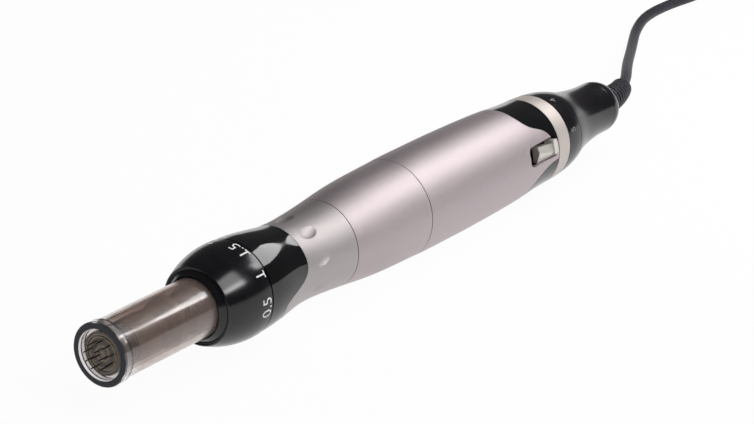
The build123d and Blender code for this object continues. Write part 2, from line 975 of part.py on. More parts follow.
def make_switch_knob():
    ridge_start = knob_end - ridge_length
    sections = [knob_section(knob_start, knob_front_corners), knob_section(knob_end, knob_rear_corners)]
    bar = loft(sections, ruled=True)
    ridge = loft([knob_section(x, ridge_corners) for x in (ridge_start, knob_end)], ruled=True)
    stem = block(
        knob_middle - stem_length / 2,
        knob_middle + stem_length / 2,
        -stem_width / 2,
        stem_width / 2,
        stem_bottom + slip_fit,
        knob_floor + slip_fit,
    )
    return about_axis(bar + ridge + stem, switch_angle)


def make_trim_ring():
    ring = outer_skin & rod(ring_start, ring_end, reach)
    return ring - rod(ring_start - overrun, ring_end + overrun, end_frame_radius + slip_fit)


def make_end_frame():
    disc_end = ring_start + end_frame_disc
    frame = rod(ring_start, disc_end, end_frame_radius)
    frame += rod(ring_start - end_boss_length, neck_tail_end, end_boss_radius)
    outer = outline_radius(rear_end - end_spigot_length / 2) - wall - 2 * slip_fit
    outer = min(outer, outline_radius(rear_end - slip_fit) - wall - slip_fit)
    spigot = tube(ring_start - end_spigot_length, ring_start, outer, outer - end_spigot_wall)
    half = end_spigot_relief / 2
    relief = block(slot_start, ring_start, -half, half, end_boss_radius, reach)
    frame += spigot - about_axis(relief, switch_angle)
    return frame - rod(ring_start - end_boss_length - overrun, neck_tail_end + overrun, wire_bore)


def make_potentiometer_base():
    start = ring_start + end_frame_disc
    return tube(start, start + pot_thickness, pot_outer_radius, pot_inner_radius)


def make_speed_dial():
    dial = outer_skin & rod(speed_start, speed_end, reach)
    dial -= rod(speed_start - overrun, speed_end + overrun, neck_tail_radius + slip_fit)
    recess_end = speed_start + wiper_thickness + slip_fit
    inner = pot_inner_radius - slip_fit
    return dial - tube(speed_start - overrun, recess_end, pot_outer_radius + slip_fit, inner)


def make_potentiometer_wiper():
    return tube(speed_start, speed_start + wiper_thickness, pot_outer_radius, pot_inner_radius)


def make_tail_housing():
    tail = outer_skin & rod(tail_start, tail_end + overrun, reach)
    socket_end = tail_start + tail_socket_length
    cavity_end = socket_end + tail_cavity_length
    tail -= rod(tail_start - overrun, socket_end, neck_tail_radius + slip_fit)
    tail -= rod(socket_end - overrun, cavity_end, tail_cavity_radius)
    return tail - rod(cavity_end - overrun, tail_end + overrun, relief_radius + slip_fit)


def bent(radius, start_share, end_share):
    """A stretch of the strain relief's bend, between two shares of its angle."""
    circle = Plane.YZ * Circle(radius)
    angle = relief_bend_angle * (end_share - start_share)
    stretch = revolve(Pos(bend_start, 0, 0) * circle, bend_axis(), angle)
    return turn_in_bend(stretch, relief_bend_angle * start_share)


def bend_axis():
    return Axis((bend_start, relief_bend_radius, 0), (0, 0, 1))


def turn_in_bend(shape, angle):
    """The shape turned about the bend's own axis."""
    centre = Vector(bend_start, relief_bend_radius, 0)
    return Pos(centre) * Rot(0, 0, angle) * Pos(-centre) * shape


def make_strain_relief():
    flange_end = relief_start + relief_flange_length
    relief = rod(relief_start, flange_end, relief_flange_radius)
    relief += rod(flange_end - slip_fit, bend_start, relief_radius)
    relief += bent(relief_core_radius, 0, 1)
    for index in range(relief_rib_count):
        taper = index / (relief_rib_count - 1)
        radius = relief_rib_radius + (relief_end_radius - relief_rib_radius) * taper
        width = relief_rib_share / relief_rib_count
        start = (1 - width) * taper
        relief += bent(radius, start, start + width)
    return relief


def route_point(place):
    """A point of the cord, given over the table, in the pen's own frame."""
    return Vector(place[0], place[1], place[2] - pen_radius)


def bend_radii(points):
    """The largest fair radius at each inner point of a route."""
    radii = []
    for before, here, after in zip(points, points[1:], points[2:]):
        first = here - before
        second = after - here
        half_turn = math.radians(first.get_angle(second)) / 2
        radii.append(bend_share * min(first.length, second.length) / math.tan(half_turn))
    return radii


def laid_tube(name, points):
    """A cord along straight runs joined by tangent arcs."""
    radii = bend_radii(points)
    print(name, "bend radii", [round(radius, 1) for radius in radii])
    path = FilletPolyline(*points, radius=radii)
    section = Plane(origin=points[0], z_dir=points[1] - points[0]) * Circle(cord_radius)
    cord = sweep(section, path=path)
    fill = cord.volume / (section.area * path.length)
    print(name, "length", round(path.length, 1), "fill", round(fill, 4))
    return cord


def relief_exit():
    return Vector(bend_end, bend_side, 0)


def coil_turns():
    """(turns, direction of the radius, climbs) of each stretch of the coil, in order."""
    stretches = []
    for layer in range(coil_layers):
        turns = coil_first_turns if layer == 0 else coil_layer_turns
        way = -1 if layer % 2 == 0 else 1
        stretches.append((turns, way, False))
        if layer < coil_layers - 1:
            stretches.append((0.5, way, True))
    return stretches


def coil_knots():
    """Points and directions of the coil's centre line, at every half turn or less."""
    knots = []
    turned_so_far = 0
    radius = coil_outer_turn
    height = cord_radius
    for turns, way, climbs in coil_stretches:
        steps = round(4 * turns)
        for step in range(steps):
            part = step / steps
            knots.append(coil_knot(turned_so_far + turns * part, radius, height, turns, way, climbs, part))
        radius, height = coil_place(radius, height, turns, way, climbs, 1)
        turned_so_far += turns
    knots.append(coil_knot(turned_so_far, radius, height, turns, way, climbs, 0))
    return knots


def coil_place(radius, height, turns, way, climbs, part):
    """Radius and height of the centre line at a share of one stretch."""
    if not climbs:
        return radius + way * coil_pitch * turns * part, height
    swing = way * coil_pitch * turns * part * (1 - part)
    rise = coil_pitch * part * part * (3 - 2 * part)
    return radius + swing, height + rise


def coil_knot(turn, radius, height, turns, way, climbs, part):
    """One point of the coil and the direction of the cord there."""
    ends = []
    for offset in (-nudge_share, 0, nudge_share):
        far, high = coil_place(radius, height, turns, way, climbs, part + offset)
        angle = math.pi / 2 - 2 * math.pi * (turn + turns * offset)
        x = coil_centre[0] + far * math.cos(angle)
        y = coil_centre[1] + far * math.sin(angle)
        ends.append(Vector(x, y, high - pen_radius))
    return ends[1], (ends[2] - ends[0]).normalized()


def biarc(start, start_way, end, end_way):
    """Two tangent arcs from one point and direction to another."""
    chord = end - start
    ways = start_way + end_way
    a = 2 * (1 - start_way.dot(end_way))
    b = 2 * chord.dot(ways)
    c = -chord.dot(chord)
    reach_out = (-b + math.sqrt(b * b - 4 * a * c)) / (2 * a)
    first = start + start_way * reach_out
    second = end - end_way * reach_out
    joint = (first + second) / 2
    joint_way = (second - first).normalized()
    return [
        Edge.make_tangent_arc(start, start_way, joint),
        Edge.make_tangent_arc(joint, joint_way, end),
    ]


def wound_path(knots, end_run):
    """Edges of biarcs through the knots, with a straight run at each end."""
    first, first_way = knots[0]
    last, last_way = knots[-1]
    edges = [Edge.make_line(first - first_way * end_run, first)]
    for (start, start_way), (end, end_way) in zip(knots, knots[1:]):
        edges += biarc(start, start_way, end, end_way)
    edges.append(Edge.make_line(last, last + last_way * end_run))
    return Wire(edges)


def least_gap(name, path, diameter, skip):
    """Prints the least gap of a wound tube to itself, measured on points along it."""
    count = round(path.length / (diameter / 2))
    points = [path.position_at(index / count) for index in range(count + 1)]
    apart = round(skip / (path.length / count))
    places = [(point.X, point.Y, point.Z) for point in points]
    least = min(
        math.dist(places[low], places[high])
        for low in range(count + 1)
        for high in range(low + apart, count + 1)
    )
    print(name, "least gap to itself", round(least - diameter, 3), "length", round(path.length, 1))


def wound_tube(name, knots, radius, skip):
    """A tube swept along biarcs through the knots."""
    path = wound_path(knots, 2 * radius)
    least_gap(name, path, 2 * radius, skip)
    section = Plane(origin=path.position_at(0), z_dir=path.tangent_at(0)) * Circle(radius)
    return sweep(section, path=path)


def make_cartridge_spring():
    circle = plunger_radius + loose_fit + spring_wire
    half_wire = spring_wire / 2
    start = guide_end + 2 * slip_fit + half_wire
    rise = spring_length - 4 * slip_fit - spring_wire
    knots = []
    steps = 2 * spring_turns
    slope = rise / (2 * math.pi * spring_turns)
    for step in range(steps + 1):
        angle = math.pi * step
        place = Vector(start + rise * step / steps, circle * math.sin(angle), circle * math.cos(angle))
        way = Vector(slope, circle * math.cos(angle), -circle * math.sin(angle)).normalized()
        knots.append((place, way))
    path = Wire([edge for pair in zip(knots, knots[1:]) for edge in biarc(*pair[0], *pair[1])])
    least_gap("cartridge_spring", path, spring_wire, math.pi * circle)
    section = Plane(origin=path.position_at(0), z_dir=path.tangent_at(0)) * Circle(half_wire)
    return sweep(section, path=path)


def lead_points():
    """The free cord from the strain relief to the coil."""
    start, way = coil_line[0]
    end = start - way * (2 * cord_radius)
    first = relief_exit() + Vector(bend_cosine, bend_sine, 0) * relief_exit_run
    points = [relief_exit(), first] + [route_point(place) for place in cord_route]
    return points + [end - way * coil_end_run, end]


def plug_points():
    """The free cord from the coil to the plug."""
    end, way = coil_line[-1]
    start = end + way * (2 * cord_radius)
    last = Vector(plug_start[0], plug_start[1], plug_body_radius - pen_radius)
    points = [start, start + way * plug_exit_run] + [route_point(place) for place in plug_route]
    return points + [last - Vector(plug_entry_run, 0, 0), last]


def make_plug_body():
    height = plug_body_radius - pen_radius
    neck_end = plug_start[0] + plug_neck_length
    neck = Rot(0, 90, 0) * Cone(plug_neck_radius, plug_neck_share * plug_body_radius, plug_neck_length)
    neck = Pos(plug_start[0] + plug_neck_length / 2, plug_start[1], height) * neck
    body = rod(neck_end, neck_end + plug_body_length, plug_body_radius, plug_start[1], height)
    body = chamfer(body.edges(), plug_barrel_wall)
    return body + neck


def plug_face():
    return plug_start[0] + plug_neck_length + plug_body_length


def plug_tube(start, end, outer, inner):
    shape = tube(start, end, outer, inner)
    return Pos(0, plug_start[1], plug_body_radius - pen_radius) * shape


def make_plug_barrel():
    inner = plug_barrel_radius - plug_barrel_wall
    return plug_tube(plug_face(), plug_face() + plug_barrel_length, plug_barrel_radius, inner)


def make_plug_insulator():
    outer = plug_barrel_radius - plug_barrel_wall - slip_fit / 2
    inner = plug_contact_radius + plug_contact_wall + slip_fit / 2
    return plug_tube(plug_face(), plug_face() + plug_barrel_length - plug_barrel_wall, outer, inner)


def make_plug_contact():
    outer = plug_contact_radius + plug_contact_wall
    end = plug_face() + plug_barrel_length - plug_barrel_wall
    return plug_tube(plug_face(), end, outer, plug_contact_radius)


outer_skin = skin(0)
inner_skin = skin(wall)
inlay_floor = skin(inlay_thickness)
coil_stretches = coil_turns()
coil_line = coil_knots()

pieces = {
    "tip_cap": make_tip_cap(),
    "cartridge_tube": make_cartridge_tube(),
    "cartridge_guide": make_cartridge_guide(),
    "cartridge_spring": make_cartridge_spring(),
    "sealing_membrane": make_sealing_membrane(),
    "cartridge_base": make_cartridge_base(),
    "cartridge_o_ring": make_cartridge_o_ring(),
    "cartridge_holder": make_cartridge_holder(),
    "needle_hub": make_needle_hub(),
    "needles": make_needles(),
    "plunger": make_plunger(),
    "drive_rod": make_drive_rod(),
    "cam_follower": make_cam_follower(),
    "depth_dial": make_depth_dial(),
    "dial_retaining_ring": make_dial_retaining_ring(),
    "dial_o_ring": make_dial_o_ring(),
    "index_band": make_index_band(),
    "nose_cone": make_nose_cone(),
    "guide_bush": make_guide_bush(),
    "guide_pin": make_guide_pin(),
    "face_cam": make_face_cam(),
    "motor_shaft": make_motor_shaft(),
    "motor_armature": make_motor_armature(),
    "motor_mount": make_motor_mount(),
    "motor_screws": make_motor_screws(),
    "motor_can": make_motor_can(),
    "motor_magnets": make_motor_magnets(),
    "motor_end_cap": make_motor_end_cap(),
    "motor_terminals": make_motor_terminals(),
    "motor_leads": make_motor_leads(),
    "motor_damper": make_motor_damper(),
    "front_barrel": make_front_barrel(),
    "joining_sleeve": make_joining_sleeve(),
    "barrel_o_ring": make_barrel_o_ring(),
    "rear_barrel": make_rear_barrel(),
    "rear_inlay": make_rear_inlay(),
    "board_cradle": make_board_cradle(),
    "circuit_board": make_circuit_board(),
    "driver_chip": make_driver_chip(),
    "voltage_regulator": make_voltage_regulator(),
    "smoothing_capacitor": make_smoothing_capacitor(),
    "power_leads": make_power_leads(),
    "switch_body": make_switch_body(),
    "switch_knob": make_switch_knob(),
    "trim_ring": make_trim_ring(),
    "end_frame": make_end_frame(),
    "potentiometer_base": make_potentiometer_base(),
    "potentiometer_wiper": make_potentiometer_wiper(),
    "speed_dial": make_speed_dial(),
    "tail_housing": make_tail_housing(),
    "strain_relief": make_strain_relief(),
    "cord_lead": laid_tube("cord_lead", lead_points()),
    "cord_coil": wound_tube("cord_coil", coil_line, cord_radius, 4 * coil_pitch),
    "plug_lead": laid_tube("plug_lead", plug_points()),
    "plug_body": make_plug_body(),
    "plug_barrel": make_plug_barrel(),
    "plug_insulator": make_plug_insulator(),
    "plug_contact": make_plug_contact(),
}

# The origin is on the table, under the middle of the pen
os.makedirs("parts", exist_ok=True)
for name, shape in pieces.items():
    export_step(Pos(-pen_middle, 0, pen_radius) * shape, f"parts/{name}.step")
print("pen_middle", round(pen_middle, 3), "pen_end", round(pen_end, 3), "nodes", len(pieces))
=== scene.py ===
import math

import bmesh
import bpy
from mathutils import Matrix, Vector


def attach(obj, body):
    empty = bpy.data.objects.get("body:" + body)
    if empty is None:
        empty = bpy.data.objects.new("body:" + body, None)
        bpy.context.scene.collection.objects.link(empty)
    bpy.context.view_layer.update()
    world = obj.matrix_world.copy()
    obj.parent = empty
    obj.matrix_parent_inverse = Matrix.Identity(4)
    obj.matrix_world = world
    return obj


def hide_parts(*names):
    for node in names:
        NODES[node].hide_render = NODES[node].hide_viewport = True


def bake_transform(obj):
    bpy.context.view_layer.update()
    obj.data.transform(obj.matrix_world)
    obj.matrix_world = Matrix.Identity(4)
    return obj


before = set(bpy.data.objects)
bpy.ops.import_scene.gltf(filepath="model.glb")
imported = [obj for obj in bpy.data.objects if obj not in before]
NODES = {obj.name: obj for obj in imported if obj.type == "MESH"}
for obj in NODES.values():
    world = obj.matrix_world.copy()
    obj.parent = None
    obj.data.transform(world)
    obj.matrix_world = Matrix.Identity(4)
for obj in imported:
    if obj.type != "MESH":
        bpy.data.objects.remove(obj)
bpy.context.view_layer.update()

# Stations along the pen are millimetres from the tip plane, as in the CAD source
MM = 0.001
MIDDLE = 94.463
R = 11.25


def place(x, y, z):
    """A point of the pen's own frame, in metres in the row frame."""
    return Vector(((x - MIDDLE) * MM, y * MM, (z + R) * MM))


def around(x, radius, angle):
    """A point at a station, radius and angle from the top, in degrees towards +Y."""
    turn = math.radians(angle)
    return place(x, radius * math.sin(turn), radius * math.cos(turn))


# Camera: fitted to the photograph's outlines and seams
CAMERA_PLACE = (-0.561963, -0.41077, 0.28624)
CAMERA_RIGHT = (0.59273, -0.80540, 0.0)
CAMERA_UP = (0.29618, 0.21797, 0.92993)
CAMERA_SENSOR = 36
CAMERA_LENS = 167.1

camera = bpy.data.objects.new("camera", bpy.data.cameras.new("camera"))
bpy.context.scene.collection.objects.link(camera)
camera.data.sensor_width = CAMERA_SENSOR
camera.data.lens = CAMERA_LENS
right = Vector(CAMERA_RIGHT)
up = Vector(CAMERA_UP)
view_turn = Matrix((right, up, right.cross(up))).transposed().to_4x4()
camera.matrix_world = Matrix.Translation(CAMERA_PLACE) @ view_turn
camera.data.clip_start = 0.01
camera.data.clip_end = 20
bpy.context.scene.camera = camera


# Materials
MOTTLE_SHARE = 1 / 12
BUMP_DEPTH = 0.00002
SMOKE_WAVE_DEPTH = 0.00003
RING_BUMP_DEPTH = 0.00004


def new_material(name):
    """A new material with its main shader and its node tree."""
    material = bpy.data.materials.new(name)
    material.use_nodes = True
    return material, material.node_tree.nodes["Principled BSDF"], material.node_tree


def node(tree, kind, **values):
    """A new node; each value goes to the input of that name, or else to the setting."""
    made = tree.nodes.new(kind)
    for key, value in values.items():
        if key in made.inputs:
            made.inputs[key].default_value = value
        else:
            setattr(made, key, value)
    return made


def plain(name, colour, roughness, metallic=0.0, shine=0.5, grain=0.0, grain_size=2000.0, mottle=0.04):
    """A procedural base: slight colour mottling, roughness variation and fine bump."""
    material, shader, tree = new_material(name)
    shader.inputs["Metallic"].default_value = metallic
    shader.inputs["Specular IOR Level"].default_value = shine
    where = node(tree, "ShaderNodeTexCoord")
    cloud = node(tree, "ShaderNodeTexNoise", Scale=grain_size * MOTTLE_SHARE, Detail=4.0)
    tree.links.new(where.outputs["Object"], cloud.inputs["Vector"])
    ramp = node(tree, "ShaderNodeValToRGB")
    low = [c * (1 - mottle) for c in colour]
    high = [min(1.0, c * (1 + mottle)) for c in colour]
    ramp.color_ramp.elements[0].position = 0.35
    ramp.color_ramp.elements[0].color = (*low, 1)
    ramp.color_ramp.elements[1].position = 0.65
    ramp.color_ramp.elements[1].color = (*high, 1)
    tree.links.new(cloud.outputs["Fac"], ramp.inputs["Fac"])
    tree.links.new(ramp.outputs["Color"], shader.inputs["Base Color"])
    rough = node(tree, "ShaderNodeMapRange")
    rough.inputs["To Min"].default_value = max(0.02, roughness * 0.88)
    rough.inputs["To Max"].default_value = min(1.0, roughness * 1.12)
    tree.links.new(cloud.outputs["Fac"], rough.inputs["Value"])
    tree.links.new(rough.outputs["Result"], shader.inputs["Roughness"])
    if grain:
        fine = node(tree, "ShaderNodeTexNoise", Scale=grain_size, Detail=2.0)
        tree.links.new(where.outputs["Object"], fine.inputs["Vector"])
        bump = node(tree, "ShaderNodeBump", Strength=grain, Distance=BUMP_DEPTH)
        tree.links.new(fine.outputs["Fac"], bump.inputs["Height"])
        tree.links.new(bump.outputs["Normal"], shader.inputs["Normal"])
    return material


def along_pen(tree, station_from, station_to):
    """0 to 1 between two stations of the pen, for materials that change along it."""
    where = node(tree, "ShaderNodeTexCoord")
    parts = node(tree, "ShaderNodeSeparateXYZ")
    tree.links.new(where.outputs["Object"], parts.inputs["Vector"])
    part = node(tree, "ShaderNodeMapRange", interpolation_type="SMOOTHSTEP")
    part.inputs["From Min"].default_value = (station_from - MIDDLE) * MM
    part.inputs["From Max"].default_value = (station_to - MIDDLE) * MM
    tree.links.new(parts.outputs["X"], part.inputs["Value"])
    return part.outputs["Result"]


def smoke(name, clear_to, brown_from, painted_shade_face=False):
    """Smoke plastic, clearer at its mouth; with a painted shade face, the faces turned towards the tip get
    painted shade, a near-black blue gloss.
    """
    material, shader, tree = new_material(name)
    shader.inputs["Transmission Weight"].default_value = 1.0
    shader.inputs["IOR"].default_value = 1.5
    shader.inputs["Roughness"].default_value = 0.03
    shader.inputs["Coat Weight"].default_value = 1.0
    shader.inputs["Coat Roughness"].default_value = 0.3
    shader.inputs["Coat IOR"].default_value = 1.6
    where = node(tree, "ShaderNodeTexCoord")
    depth = along_pen(tree, clear_to, brown_from)
    tint = node(tree, "ShaderNodeValToRGB")
    tint.color_ramp.elements[0].color = (0.93, 0.90, 0.90, 1)
    tint.color_ramp.elements[1].color = (0.70, 0.56, 0.50, 1)
    tree.links.new(depth, tint.inputs["Fac"])
    tree.links.new(tint.outputs["Color"], shader.inputs["Base Color"])
    milk = node(tree, "ShaderNodeBsdfDiffuse", Roughness=0.5)
    milk.inputs["Color"].default_value = (0.46, 0.34, 0.30, 1)
    milkiness = node(tree, "ShaderNodeMapRange")
    milkiness.inputs["To Min"].default_value = 0.04
    milkiness.inputs["To Max"].default_value = 0.17
    tree.links.new(depth, milkiness.inputs["Value"])
    plastic = node(tree, "ShaderNodeMixShader")
    tree.links.new(milkiness.outputs["Result"], plastic.inputs["Fac"])
    tree.links.new(shader.outputs["BSDF"], plastic.inputs[1])
    tree.links.new(milk.outputs["BSDF"], plastic.inputs[2])
    surface = plastic
    # Painted shade: faces whose normal points towards the tip blend into a near-black blue gloss, standing
    # in for the dark they show
    if painted_shade_face:
        parts = node(tree, "ShaderNodeSeparateXYZ")
        tree.links.new(where.outputs["Normal"], parts.inputs["Vector"])
        front = node(tree, "ShaderNodeMapRange")
        front.inputs["From Min"].default_value = -0.8
        front.inputs["From Max"].default_value = -0.95
        tree.links.new(parts.outputs["X"], front.inputs["Value"])
        edge = node(tree, "ShaderNodeBsdfPrincipled", Roughness=0.35)
        edge.inputs["Base Color"].default_value = (0.012, 0.015, 0.026, 1)
        edge.inputs["Specular IOR Level"].default_value = 0.3
        surface = node(tree, "ShaderNodeMixShader")
        tree.links.new(front.outputs["Result"], surface.inputs["Fac"])
        tree.links.new(plastic.outputs["Shader"], surface.inputs[1])
        tree.links.new(edge.outputs["BSDF"], surface.inputs[2])
    tree.links.new(surface.outputs["Shader"], tree.nodes["Material Output"].inputs["Surface"])
    flow = node(tree, "ShaderNodeTexNoise", Scale=900.0, Detail=3.0)
    tree.links.new(where.outputs["Object"], flow.inputs["Vector"])
    wave = node(tree, "ShaderNodeBump", Strength=0.12, Distance=SMOKE_WAVE_DEPTH)
    tree.links.new(flow.outputs["Fac"], wave.inputs["Height"])
    tree.links.new(wave.outputs["Normal"], shader.inputs["Normal"])
    return material


def turned_rings(name, colours, roughness):
    """Moulded plastic with rings round the pen's axis: colours by radius in millimetres."""
    material, shader, tree = new_material(name)
    shader.inputs["Roughness"].default_value = roughness
    where = node(tree, "ShaderNodeTexCoord")
    centred = node(tree, "ShaderNodeVectorMath", operation="SUBTRACT")
    centred.inputs[1].default_value = (0.0, 0.0, R * MM)
    tree.links.new(where.outputs["Object"], centred.inputs[0])
    flat = node(tree, "ShaderNodeVectorMath", operation="MULTIPLY")
    flat.inputs[1].default_value = (0.0, 1.0, 1.0)
    tree.links.new(centred.outputs["Vector"], flat.inputs[0])
    length = node(tree, "ShaderNodeVectorMath", operation="LENGTH")
    tree.links.new(flat.outputs["Vector"], length.inputs[0])
    reach = colours[-1][0]
    share = node(tree, "ShaderNodeMapRange")
    share.inputs["From Max"].default_value = reach * MM
    tree.links.new(length.outputs["Value"], share.inputs["Value"])
    ramp = node(tree, "ShaderNodeValToRGB")
    for index, (radius, colour) in enumerate(colours):
        if index < 2:
            stop = ramp.color_ramp.elements[index]
            stop.position = radius / reach
        else:
            stop = ramp.color_ramp.elements.new(radius / reach)
        stop.color = (*colour, 1)
    tree.links.new(share.outputs["Result"], ramp.inputs["Fac"])
    tree.links.new(ramp.outputs["Color"], shader.inputs["Base Color"])
    grain = node(tree, "ShaderNodeTexNoise", Scale=2500.0, Detail=3.0)
    tree.links.new(where.outputs["Object"], grain.inputs["Vector"])
    bump = node(tree, "ShaderNodeBump", Strength=0.4, Distance=RING_BUMP_DEPTH)
    tree.links.new(grain.outputs["Fac"], bump.inputs["Height"])
    tree.links.new(bump.outputs["Normal"], shader.inputs["Normal"])
    return material


SATIN = {"metallic": 1.0, "grain_size": 9000, "mottle": 0.02}
BARREL = plain("barrel_silver", (0.53, 0.465, 0.48), 0.56, grain=0.25, **SATIN)
NOSE = plain("nose_silver", (0.495, 0.458, 0.458), 0.56, grain=0.35, **SATIN)
BLACK = plain("black_gloss", (0.004, 0.004, 0.005), 0.06, mottle=0.3)
DIAL_BLACK = plain("black_dial", (0.004, 0.004, 0.006), 0.18, grain=0.03, grain_size=5000, mottle=0.3)
TAIL_BLACK = plain("black_tail", (0.005, 0.004, 0.006), 0.16, mottle=0.2)
SOFT_BLACK = plain("black_satin", (0.014, 0.013, 0.016), 0.3, grain=0.2, grain_size=6000, mottle=0.1)
CREAM = plain("trim_cream", (0.60, 0.545, 0.51), 0.52, metallic=0.6, mottle=0.03)
SWITCH = plain("switch_metal", (0.72, 0.69, 0.64), 0.35, metallic=0.5, mottle=0.05)
HUB = plain("hub_brown", (0.19, 0.135, 0.10), 0.35, grain=0.3, mottle=0.2)
BROWN, PALE_BROWN, DARK_BROWN = (0.15, 0.105, 0.065), (0.40, 0.31, 0.22), (0.055, 0.04, 0.028)
HUB_RINGS = (
    (0.0, PALE_BROWN),
    (1.0, BROWN),
    (1.25, DARK_BROWN),
    (1.45, PALE_BROWN),
    (1.8, BROWN),
    (2.5, DARK_BROWN),
    (3.2, BROWN),
    (3.55, PALE_BROWN),
    (3.75, DARK_BROWN),
    (3.95, PALE_BROWN),
    (4.15, DARK_BROWN),
    (4.7, BROWN),
)
HUB_FACE = turned_rings("hub_rings", HUB_RINGS, 0.3)
STEEL = plain("steel", (0.5, 0.5, 0.5), 0.25, metallic=1.0, mottle=0.04)
DARK_STEEL = plain("needle_steel", (0.10, 0.09, 0.085), 0.3, metallic=1.0, mottle=0.04)
NYLON = plain("white_nylon", (0.72, 0.70, 0.66), 0.5, mottle=0.03)
BRASS = plain("brass", (0.72, 0.5, 0.2), 0.3, metallic=1.0)
COPPER = plain("copper", (0.55, 0.25, 0.1), 0.35, metallic=1.0)
RUBBER = plain("rubber", (0.02, 0.02, 0.02), 0.6, grain=0.4, mottle=0.1)
CORD_LOOK = {"shine": 0.3, "grain": 0.4, "grain_size": 7000, "mottle": 0.1}
CORD = plain("cord_rubber", (0.030, 0.028, 0.036), 0.5, **CORD_LOOK)
BOARD = plain("board_green", (0.02, 0.14, 0.06), 0.4, mottle=0.1)
RED = plain("lead_red", (0.4, 0.03, 0.02), 0.4, mottle=0.05)
SILICONE = plain("silicone", (0.5, 0.48, 0.45), 0.4, mottle=0.05)
PRINT = plain("white_print", (0.82, 0.81, 0.82), 0.45, mottle=0.03)
FAINT_PRINT = plain("grey_print", (0.20, 0.19, 0.20), 0.45, mottle=0.05)
# The tube is clear up to the first station and brown from the second
CLEAR_TO = 2.5
BROWN_FROM = 7.0
SMOKE = smoke("smoke_plastic", CLEAR_TO, BROWN_FROM)
# This smoke carries painted shade: its faces towards the tip are painted near-black
SMOKE_WITH_PAINTED_SHADE = smoke("smoke_tip_plastic", CLEAR_TO, BROWN_FROM, painted_shade_face=True)

LOOKS = {
    "tip_cap": SMOKE_WITH_PAINTED_SHADE,
    "cartridge_tube": SMOKE,
    "cartridge_guide": HUB,
    "cartridge_spring": DARK_STEEL,
    "sealing_membrane": SILICONE,
    "cartridge_base": SMOKE_WITH_PAINTED_SHADE,
    "cartridge_o_ring": RUBBER,
    "cartridge_holder": SOFT_BLACK,
    "needle_hub": HUB_FACE,
    "needles": DARK_STEEL,
    "plunger": HUB,
    "drive_rod": STEEL,
    "cam_follower": NYLON,
    "depth_dial": DIAL_BLACK,
    "dial_retaining_ring": STEEL,
    "dial_o_ring": RUBBER,
    "index_band": BLACK,
    "nose_cone": NOSE,
    "guide_bush": BRASS,
    "guide_pin": STEEL,
    "face_cam": NYLON,
    "motor_shaft": STEEL,
    "motor_armature": COPPER,
    "motor_mount": NOSE,
    "motor_screws": STEEL,
    "motor_can": STEEL,
    "motor_magnets": RUBBER,
    "motor_end_cap": NYLON,
    "motor_terminals": BRASS,
    "motor_leads": RED,
    "motor_damper": RUBBER,
    "front_barrel": BARREL,
    "joining_sleeve": NOSE,
    "barrel_o_ring": RUBBER,
    "rear_barrel": BARREL,
    "rear_inlay": BLACK,
    "board_cradle": SOFT_BLACK,
    "circuit_board": BOARD,
    "driver_chip": SOFT_BLACK,
    "voltage_regulator": SOFT_BLACK,
    "smoothing_capacitor": RUBBER,
    "power_leads": RED,
    "switch_body": SOFT_BLACK,
    "switch_knob": SWITCH,
    "trim_ring": CREAM,
    "end_frame": SOFT_BLACK,
    "potentiometer_base": BOARD,
    "potentiometer_wiper": BRASS,
    "speed_dial": TAIL_BLACK,
    "tail_housing": TAIL_BLACK,
    "strain_relief": CORD,
    "plug_body": SOFT_BLACK,
    "plug_barrel": STEEL,
    "plug_insulator": SOFT_BLACK,
    "plug_contact": BRASS,
}

# Width in millimetres of the bevel that each piece's edges get
SOFT_EDGES = {
    "tip_cap": 0.09,
    "cartridge_tube": 0.09,
    "needle_hub": 0.09,
    "depth_dial": 0.3,
    "index_band": 0.14,
    "nose_cone": 0.09,
    "front_barrel": 0.09,
    "rear_barrel": 0.09,
    "switch_knob": 0.09,
    "trim_ring": 0.12,
    "speed_dial": 0.12,
    "tail_housing": 0.12,
    "plug_body": 0.09,
}


def smooth(obj, limit=30):
    """Smooth shading with edges sharper than the limit kept hard."""
    mesh = obj.data
    for face in mesh.polygons:
        face.use_smooth = True
    mesh.set_sharp_from_angle(angle=math.radians(limit))


def soften(piece, width):
    """A small bevel that lets an edge catch the light, as a moulded or turned edge does."""
    bevel = piece.modifiers.new("edge", "BEVEL")
    bevel.width = width * MM
    bevel.segments = 2
    bevel.limit_method = "ANGLE"
    bevel.angle_limit = math.radians(35)
    bevel.harden_normals = True


for name, material in LOOKS.items():
    piece = NODES[name]
    piece.data.materials.clear()
    piece.data.materials.append(material)
    smooth(piece)

for name, width in SOFT_EDGES.items():
    soften(NODES[name], width)


def spring_coils():
    """The cartridge's spring: a copy of the CAD spring, fixed where it stands, in place of the hidden CAD
    piece.
    """
    coils = bpy.data.objects.new("spring_coils", NODES["cartridge_spring"].data.copy())
    bpy.context.scene.collection.objects.link(coils)
    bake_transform(coils)
    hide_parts("cartridge_spring")


spring_coils()

# Cord: the route of the CAD tube, then the coil, then the run to the plug
LEAD_POINTS = (
    (189.989, 2.039, 11.25),
    (195.552, 4.287, 11.25),
    (204.0, 9.4, 10.0),
    (215.4, 16.3, 7.6),
    (228.2, 23.6, 5.0),
    (241.4, 31.2, 2.6),
    (253.2, 37.8, 1.3),
    (264.2, 42.0, 1.3),
    (276.0, 42.3, 1.3),
    (288.0, 40.3, 1.3),
    (301.0, 41.4, 1.3),
    (314.4, 45.473, 1.3),
    (323.4, 45.261, 1.3),
)
CORD_RADIUS = 1.3
COIL_CENTRE = (326.0, 24.5)
COIL_OUTER = 20.7
COIL_PITCH = 3.06
COIL_LAYERS = 4
COIL_FIRST_TURNS = 3.5
COIL_LAYER_TURNS = 3.0
COIL_CLIMB = 0.5
POINTS_PER_TURN = 16
PLUG_POINTS = (
    (335.6, 43.91, 10.48),
    (343.5, 44.4, 8.6),
    (351.5, 44.8, 6.2),
    (359.0, 45.0, 5.0),
    (367.0, 45.0, 5.0),
)


